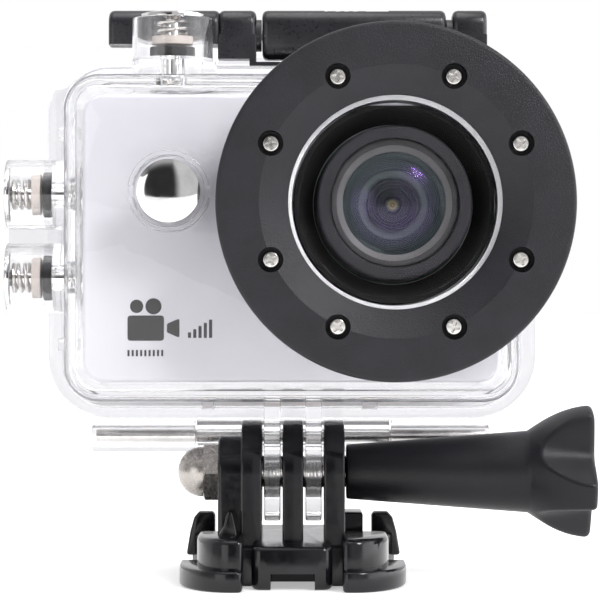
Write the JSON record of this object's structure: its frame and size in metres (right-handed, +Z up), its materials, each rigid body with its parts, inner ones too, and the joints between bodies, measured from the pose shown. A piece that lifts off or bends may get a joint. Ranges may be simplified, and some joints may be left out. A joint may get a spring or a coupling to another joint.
{
  "type": "action camera",
  "caption": "Compact action camera in a clear waterproof case with a screwed lens ring, plunger buttons, latched rear door, and a tilting thumb-screw quick-release buckle.",
  "frame": {"origin": "middle of the buckle's underside, straight below the tilt bolt, where the buckle stands on a surface", "axes": "+X to the right seen from the front, +Y from the lens to the rear door, +Z up"},
  "size_m": [0.0858, 0.0448, 0.084],
  "materials": {
    "clear_polycarbonate": "clear, polished",
    "window_glass": "clear, polished",
    "textured_black_plastic": "fine spark-eroded grain",
    "satin_black_plastic": "satin",
    "gloss_black_plastic": "polished moulding",
    "silver_paint": "satin silver paint",
    "stainless_steel": "turned and polished",
    "chrome_plate": "mirror",
    "collar_plastic": "satin",
    "black_rubber": "matte",
    "silicone": "matte, translucent",
    "coated_lens_glass": "multicoated",
    "screen_glass": "polished, dark",
    "circuit_board": "solder resist",
    "battery_wrap": "satin film"
  },
  "bodies": {
    "buckle": {"buckle": "gloss_black_plastic", "acorn_nut": "stainless_steel"},
    "buckle_arm_left": {"buckle_arm_left": "gloss_black_plastic"},
    "buckle_arm_right": {"buckle_arm_right": "gloss_black_plastic"},
    "thumb_screw": {"thumb_screw_knob": "textured_black_plastic", "thumb_screw_bolt": "stainless_steel"},
    "housing": {"front_case": "clear_polycarbonate", "lens_window": "window_glass", "lens_ring": "textured_black_plastic", "lens_ring_screw_1": "stainless_steel", "lens_ring_screw_2": "stainless_steel", "lens_ring_screw_3": "stainless_steel", "lens_ring_screw_4": "stainless_steel", "lens_ring_screw_5": "stainless_steel", "lens_ring_screw_6": "stainless_steel", "lens_ring_screw_7": "stainless_steel", "lens_ring_screw_8": "stainless_steel", "lens_shroud": "textured_black_plastic", "hinge_pin": "stainless_steel", "latch_base": "satin_black_plastic", "latch_pin": "stainless_steel", "front_button_spring": "stainless_steel", "front_button_collar": "collar_plastic", "front_button_seal": "black_rubber", "top_button_spring": "stainless_steel", "top_button_collar": "collar_plastic", "top_button_seal": "black_rubber", "upper_button_spring": "stainless_steel", "upper_button_collar": "collar_plastic", "upper_button_seal": "black_rubber", "lower_button_spring": "stainless_steel", "lower_button_collar": "collar_plastic", "lower_button_seal": "black_rubber", "camera_front_cover": "silver_paint", "camera_mid_frame": "silver_paint", "camera_back_cover": "satin_black_plastic", "camera_screen": "screen_glass", "lens_bezel": "satin_black_plastic", "lens_barrel": "satin_black_plastic", "front_lens": "coated_lens_glass", "sensor_board": "circuit_board", "main_board": "circuit_board", "battery": "battery_wrap"},
    "rear_door": {"rear_door": "clear_polycarbonate", "door_gasket": "silicone"},
    "latch_lever": {"latch_lever": "satin_black_plastic"},
    "latch_hook": {"latch_hook": "satin_black_plastic"},
    "latch_lock": {"latch_lock": "satin_black_plastic"},
    "front_plunger": {"front_button_plunger": "chrome_plate", "front_button_clip": "stainless_steel"},
    "front_key": {"camera_front_key": "chrome_plate"},
    "top_plunger": {"top_button_plunger": "chrome_plate", "top_button_clip": "stainless_steel"},
    "top_key": {"camera_top_key": "silver_paint"},
    "upper_plunger": {"upper_button_plunger": "chrome_plate", "upper_button_clip": "stainless_steel"},
    "upper_key": {"camera_upper_key": "silver_paint"},
    "lower_plunger": {"lower_button_plunger": "chrome_plate", "lower_button_clip": "stainless_steel"},
    "lower_key": {"camera_lower_key": "silver_paint"}
  },
  "joints": [
    {"name": "housing_tilt", "type": "hinge", "parent": "buckle", "child": "housing", "pos_m": [0, 0, 0.0155], "axis": [1, 0, 0], "range_deg": [-40, 45]},
    {"name": "thumb_screw_turn", "type": "hinge", "parent": "buckle", "child": "thumb_screw", "pos_m": [0, 0, 0.0155], "axis": [1, 0, 0], "continuous": true},
    {"name": "left_arm_squeeze", "type": "hinge", "parent": "buckle", "child": "buckle_arm_left", "pos_m": [-0.0096, -0.0008, 0.0027], "axis": [0, 0, -1], "range_deg": [0, 4], "stiffness_Nm_per_rad": 2.5},
    {"name": "right_arm_squeeze", "type": "hinge", "parent": "buckle", "child": "buckle_arm_right", "pos_m": [0.0096, -0.0008, 0.0027], "axis": [0, 0, 1], "range_deg": [0, 4], "stiffness_Nm_per_rad": 2.5},
    {"name": "door_swing", "type": "hinge", "parent": "housing", "child": "rear_door", "pos_m": [0, 0.012, 0.0201], "axis": [-1, 0, 0], "range_deg": [0, 100]},
    {"name": "latch_lift", "type": "hinge", "parent": "housing", "child": "latch_lever", "pos_m": [0, 0.0074, 0.0803], "axis": [1, 0, 0], "range_deg": [0, 100]},
    {"name": "hook_swing", "type": "hinge", "parent": "latch_lever", "child": "latch_hook", "pos_m": [0, 0.0128, 0.0799], "axis": [1, 0, 0], "range_deg": [0, 35]},
    {"name": "lock_slide", "type": "slide", "parent": "latch_lever", "child": "latch_lock", "axis": [1, 0, 0], "range_m": [0, 0.003]},
    {"name": "front_press", "type": "slide", "parent": "housing", "child": "front_plunger", "axis": [0, 1, 0], "range_m": [0, 0.0011], "stiffness_N_per_m": 600, "springref_m": -0.0015, "deforming": ["front_button_spring"]},
    {"name": "front_key_press", "type": "slide", "parent": "housing", "child": "front_key", "axis": [0, 1, 0], "range_m": [0, 0.00033]},
    {"name": "top_press", "type": "slide", "parent": "housing", "child": "top_plunger", "axis": [0, 0, -1], "range_m": [0, 0.0011], "stiffness_N_per_m": 600, "springref_m": -0.0015, "deforming": ["top_button_spring"]},
    {"name": "top_key_press", "type": "slide", "parent": "housing", "child": "top_key", "axis": [0, 0, -1], "range_m": [0, 0.00033]},
    {"name": "upper_press", "type": "slide", "parent": "housing", "child": "upper_plunger", "axis": [1, 0, 0], "range_m": [0, 0.0011], "stiffness_N_per_m": 600, "springref_m": -0.0015, "deforming": ["upper_button_spring"]},
    {"name": "upper_key_press", "type": "slide", "parent": "housing", "child": "upper_key", "axis": [1, 0, 0], "range_m": [0, 0.00033]},
    {"name": "lower_press", "type": "slide", "parent": "housing", "child": "lower_plunger", "axis": [1, 0, 0], "range_m": [0, 0.0011], "stiffness_N_per_m": 600, "springref_m": -0.0015, "deforming": ["lower_button_spring"]},
    {"name": "lower_key_press", "type": "slide", "parent": "housing", "child": "lower_key", "axis": [1, 0, 0], "range_m": [0, 0.00033]}
  ],
  "couplings": [
    {"joint": "front_key_press", "follows": "front_press", "ratio": 0.3},
    {"joint": "top_key_press", "follows": "top_press", "ratio": 0.3},
    {"joint": "upper_key_press", "follows": "upper_press", "ratio": 0.3},
    {"joint": "lower_key_press", "follows": "lower_press", "ratio": 0.3}
  ]
}
